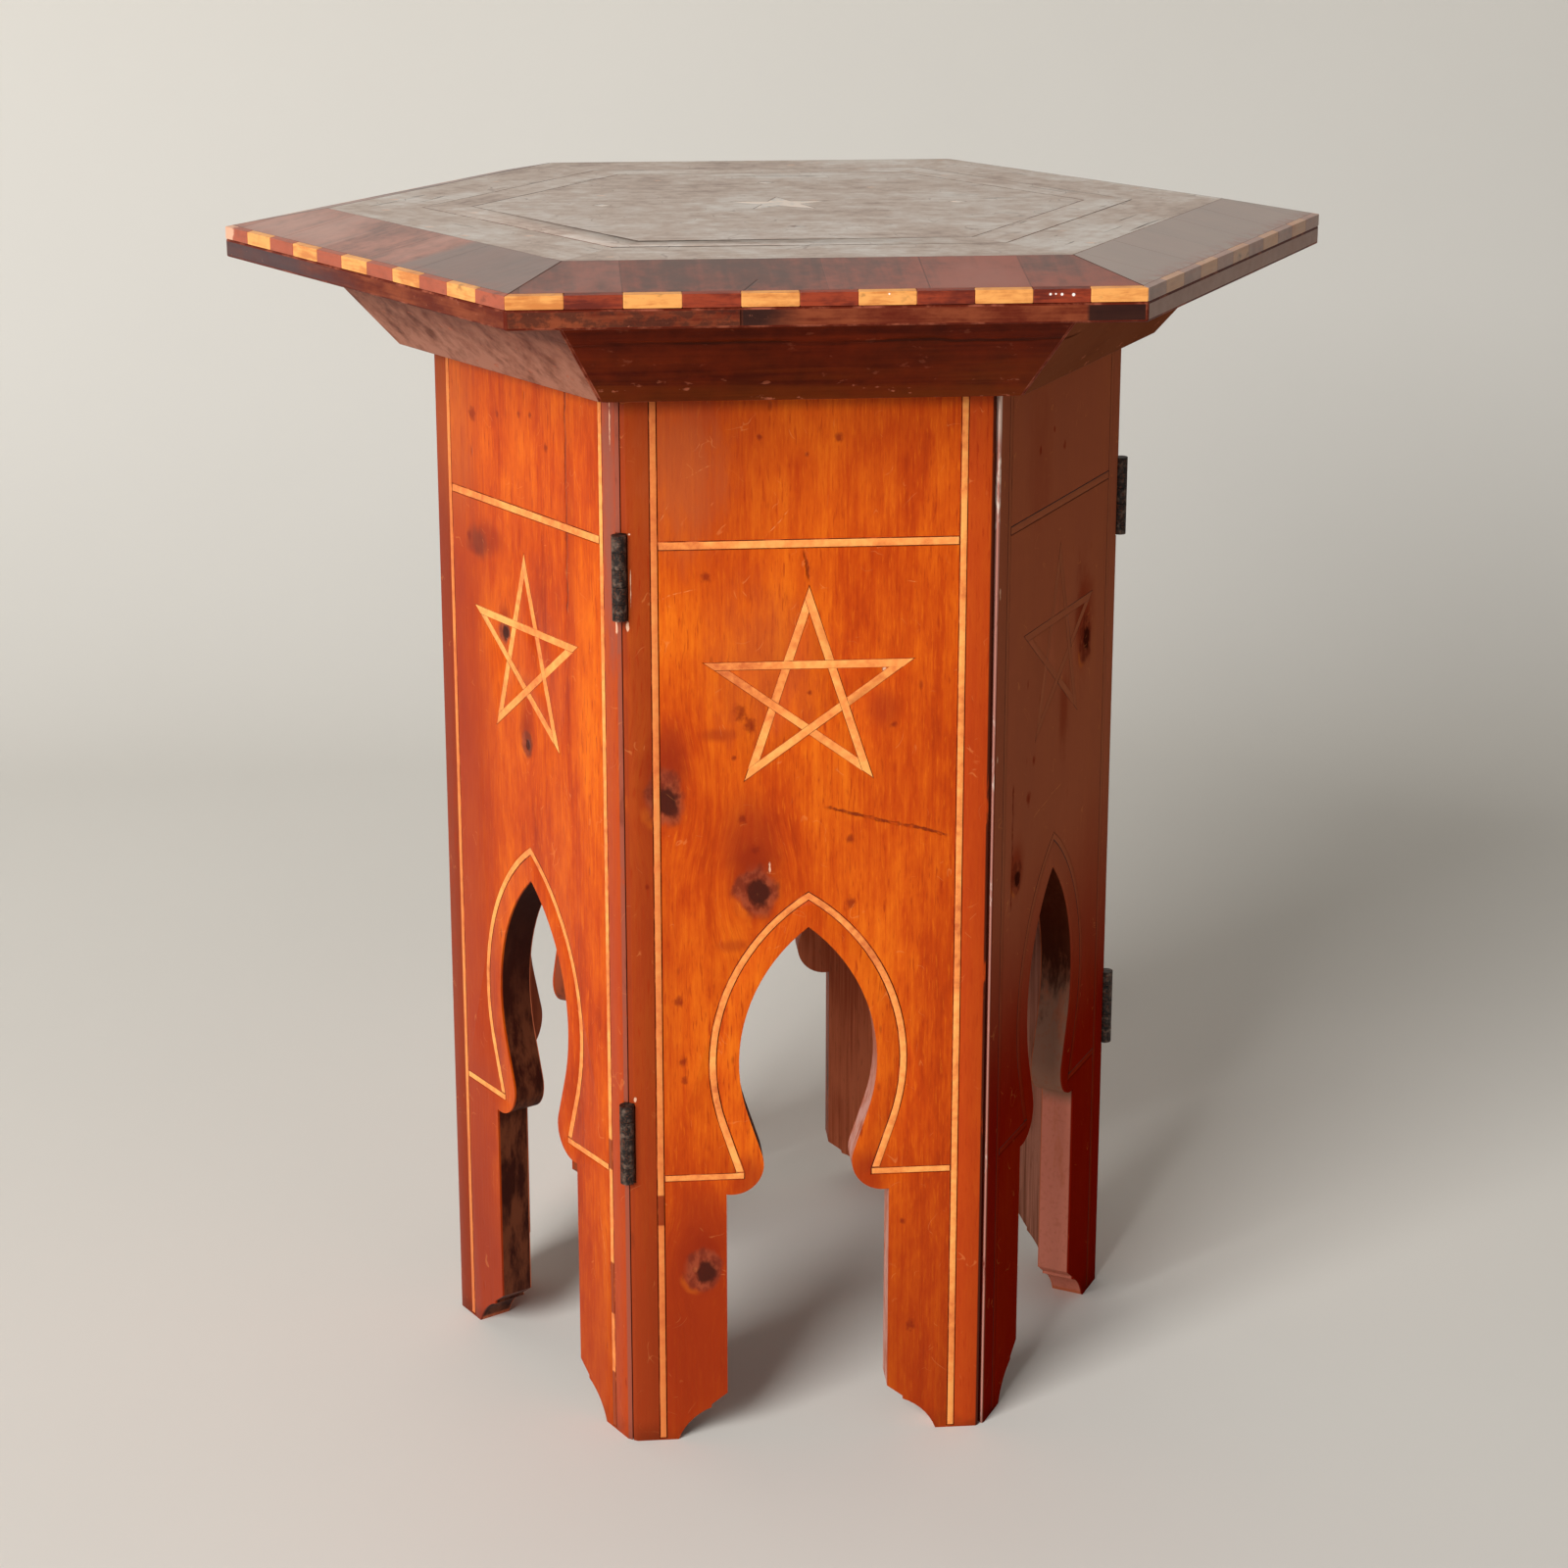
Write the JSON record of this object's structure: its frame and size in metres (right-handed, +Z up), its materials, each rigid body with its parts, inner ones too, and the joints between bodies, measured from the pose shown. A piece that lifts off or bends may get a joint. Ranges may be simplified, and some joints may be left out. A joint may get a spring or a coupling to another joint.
{
  "type": "folding occasional table",
  "caption": "Hexagonal occasional table with a lift-off inlaid top and a base of hinged arched panels that folds flat.",
  "frame": {"origin": "middle of the base at floor level", "axes": "+Z up, -Y out of the front panel, +X to the right seen from the front"},
  "size_m": [0.516, 0.4468, 0.56],
  "materials": {
    "shellacked_softwood": "warm orange shellac over softwood, worn",
    "light_inlay": "light wood stringing under shellac",
    "iron": "dark worn iron",
    "hinge_screw": "dark worn iron",
    "dark_cornice": "dark red-brown stain",
    "crossbanding": "dark red crossbanding, satin",
    "edge_dark": "dark stained edge, worn",
    "field_wood": "worn red-brown, dull sheen",
    "worn_inlay": "worn light inlay",
    "chequer_light": "light wood blocks",
    "chequer_dark": "red-brown wood blocks",
    "plain_softwood": "bare softwood"
  },
  "bodies": {
    "front_side": {"front_panel": "shellacked_softwood", "front_stringing": "light_inlay", "front_star": "light_inlay", "front_hinge_screws": "hinge_screw", "front_left_hinge_fixed_leaves": "iron", "front_left_hinge_pins": "iron"},
    "front_right_side": {"front_right_panel": "shellacked_softwood", "front_right_stringing": "light_inlay", "front_right_star": "light_inlay", "front_right_hinge_screws": "hinge_screw", "front_right_hinge_swing_leaves": "iron"},
    "back_right_side": {"back_right_panel": "shellacked_softwood", "back_right_stringing": "light_inlay", "back_right_star": "light_inlay", "back_right_hinge_screws": "hinge_screw", "back_right_hinge_swing_leaves": "iron", "front_right_hinge_fixed_leaves": "iron", "front_right_hinge_pins": "iron"},
    "back_side": {"back_panel": "shellacked_softwood", "back_stringing": "light_inlay", "back_star": "light_inlay", "back_hinge_screws": "hinge_screw", "back_hinge_swing_leaves": "iron", "back_right_hinge_fixed_leaves": "iron", "back_right_hinge_pins": "iron"},
    "back_left_side": {"back_left_panel": "shellacked_softwood", "back_left_stringing": "light_inlay", "back_left_star": "light_inlay", "back_left_hinge_screws": "hinge_screw", "back_left_hinge_swing_leaves": "iron", "back_hinge_fixed_leaves": "iron", "back_hinge_pins": "iron"},
    "front_left_side": {"front_left_panel": "shellacked_softwood", "front_left_stringing": "light_inlay", "front_left_star": "light_inlay", "front_left_hinge_screws": "hinge_screw", "front_left_hinge_swing_leaves": "iron", "back_left_hinge_fixed_leaves": "iron", "back_left_hinge_pins": "iron"},
    "top": {"top_core": "edge_dark", "field_frame": "field_wood", "field_banding": "field_wood", "field_centre": "field_wood", "field_ornament": "worn_inlay", "edge_light_blocks": "chequer_light", "edge_dark_blocks": "chequer_dark", "locating_blocks": "plain_softwood", "front_cornice": "dark_cornice", "front_right_cornice": "dark_cornice", "back_right_cornice": "dark_cornice", "back_cornice": "dark_cornice", "back_left_cornice": "dark_cornice", "front_left_cornice": "dark_cornice", "front_border": "crossbanding", "front_right_border": "crossbanding", "back_right_border": "crossbanding", "back_border": "crossbanding", "back_left_border": "crossbanding", "front_left_border": "crossbanding"}
  },
  "joints": [
    {"name": "front_left_fold", "type": "hinge", "parent": "front_side", "child": "front_left_side", "pos_m": [-0.0827, -0.14324, 0.248], "axis": [0, 0, 1], "range_deg": [0, 240]},
    {"name": "back_left_fold", "type": "hinge", "parent": "front_left_side", "child": "back_left_side", "pos_m": [-0.14555, 0, 0.248], "axis": [0, 0, 1], "range_deg": [-120, 0]},
    {"name": "back_fold", "type": "hinge", "parent": "back_left_side", "child": "back_side", "pos_m": [-0.0827, 0.14324, 0.248], "axis": [0, 0, 1], "range_deg": [0, 240]},
    {"name": "back_right_fold", "type": "hinge", "parent": "back_side", "child": "back_right_side", "pos_m": [0.07277, 0.12605, 0.248], "axis": [0, 0, 1], "range_deg": [-120, 0]},
    {"name": "front_right_fold", "type": "hinge", "parent": "back_right_side", "child": "front_right_side", "pos_m": [0.1654, 0, 0.248], "axis": [0, 0, 1], "range_deg": [0, 240]},
    {"name": "top_lift", "type": "slide", "parent": "front_side", "child": "top", "axis": [0, 0, 1], "range_m": [0, 0.25]}
  ],
  "couplings": [
    {"joint": "back_left_fold", "follows": "front_left_fold", "ratio": -0.5},
    {"joint": "back_fold", "follows": "front_left_fold", "ratio": 1},
    {"joint": "back_right_fold", "follows": "front_left_fold", "ratio": -0.5},
    {"joint": "front_right_fold", "follows": "front_left_fold", "ratio": 1}
  ]
}
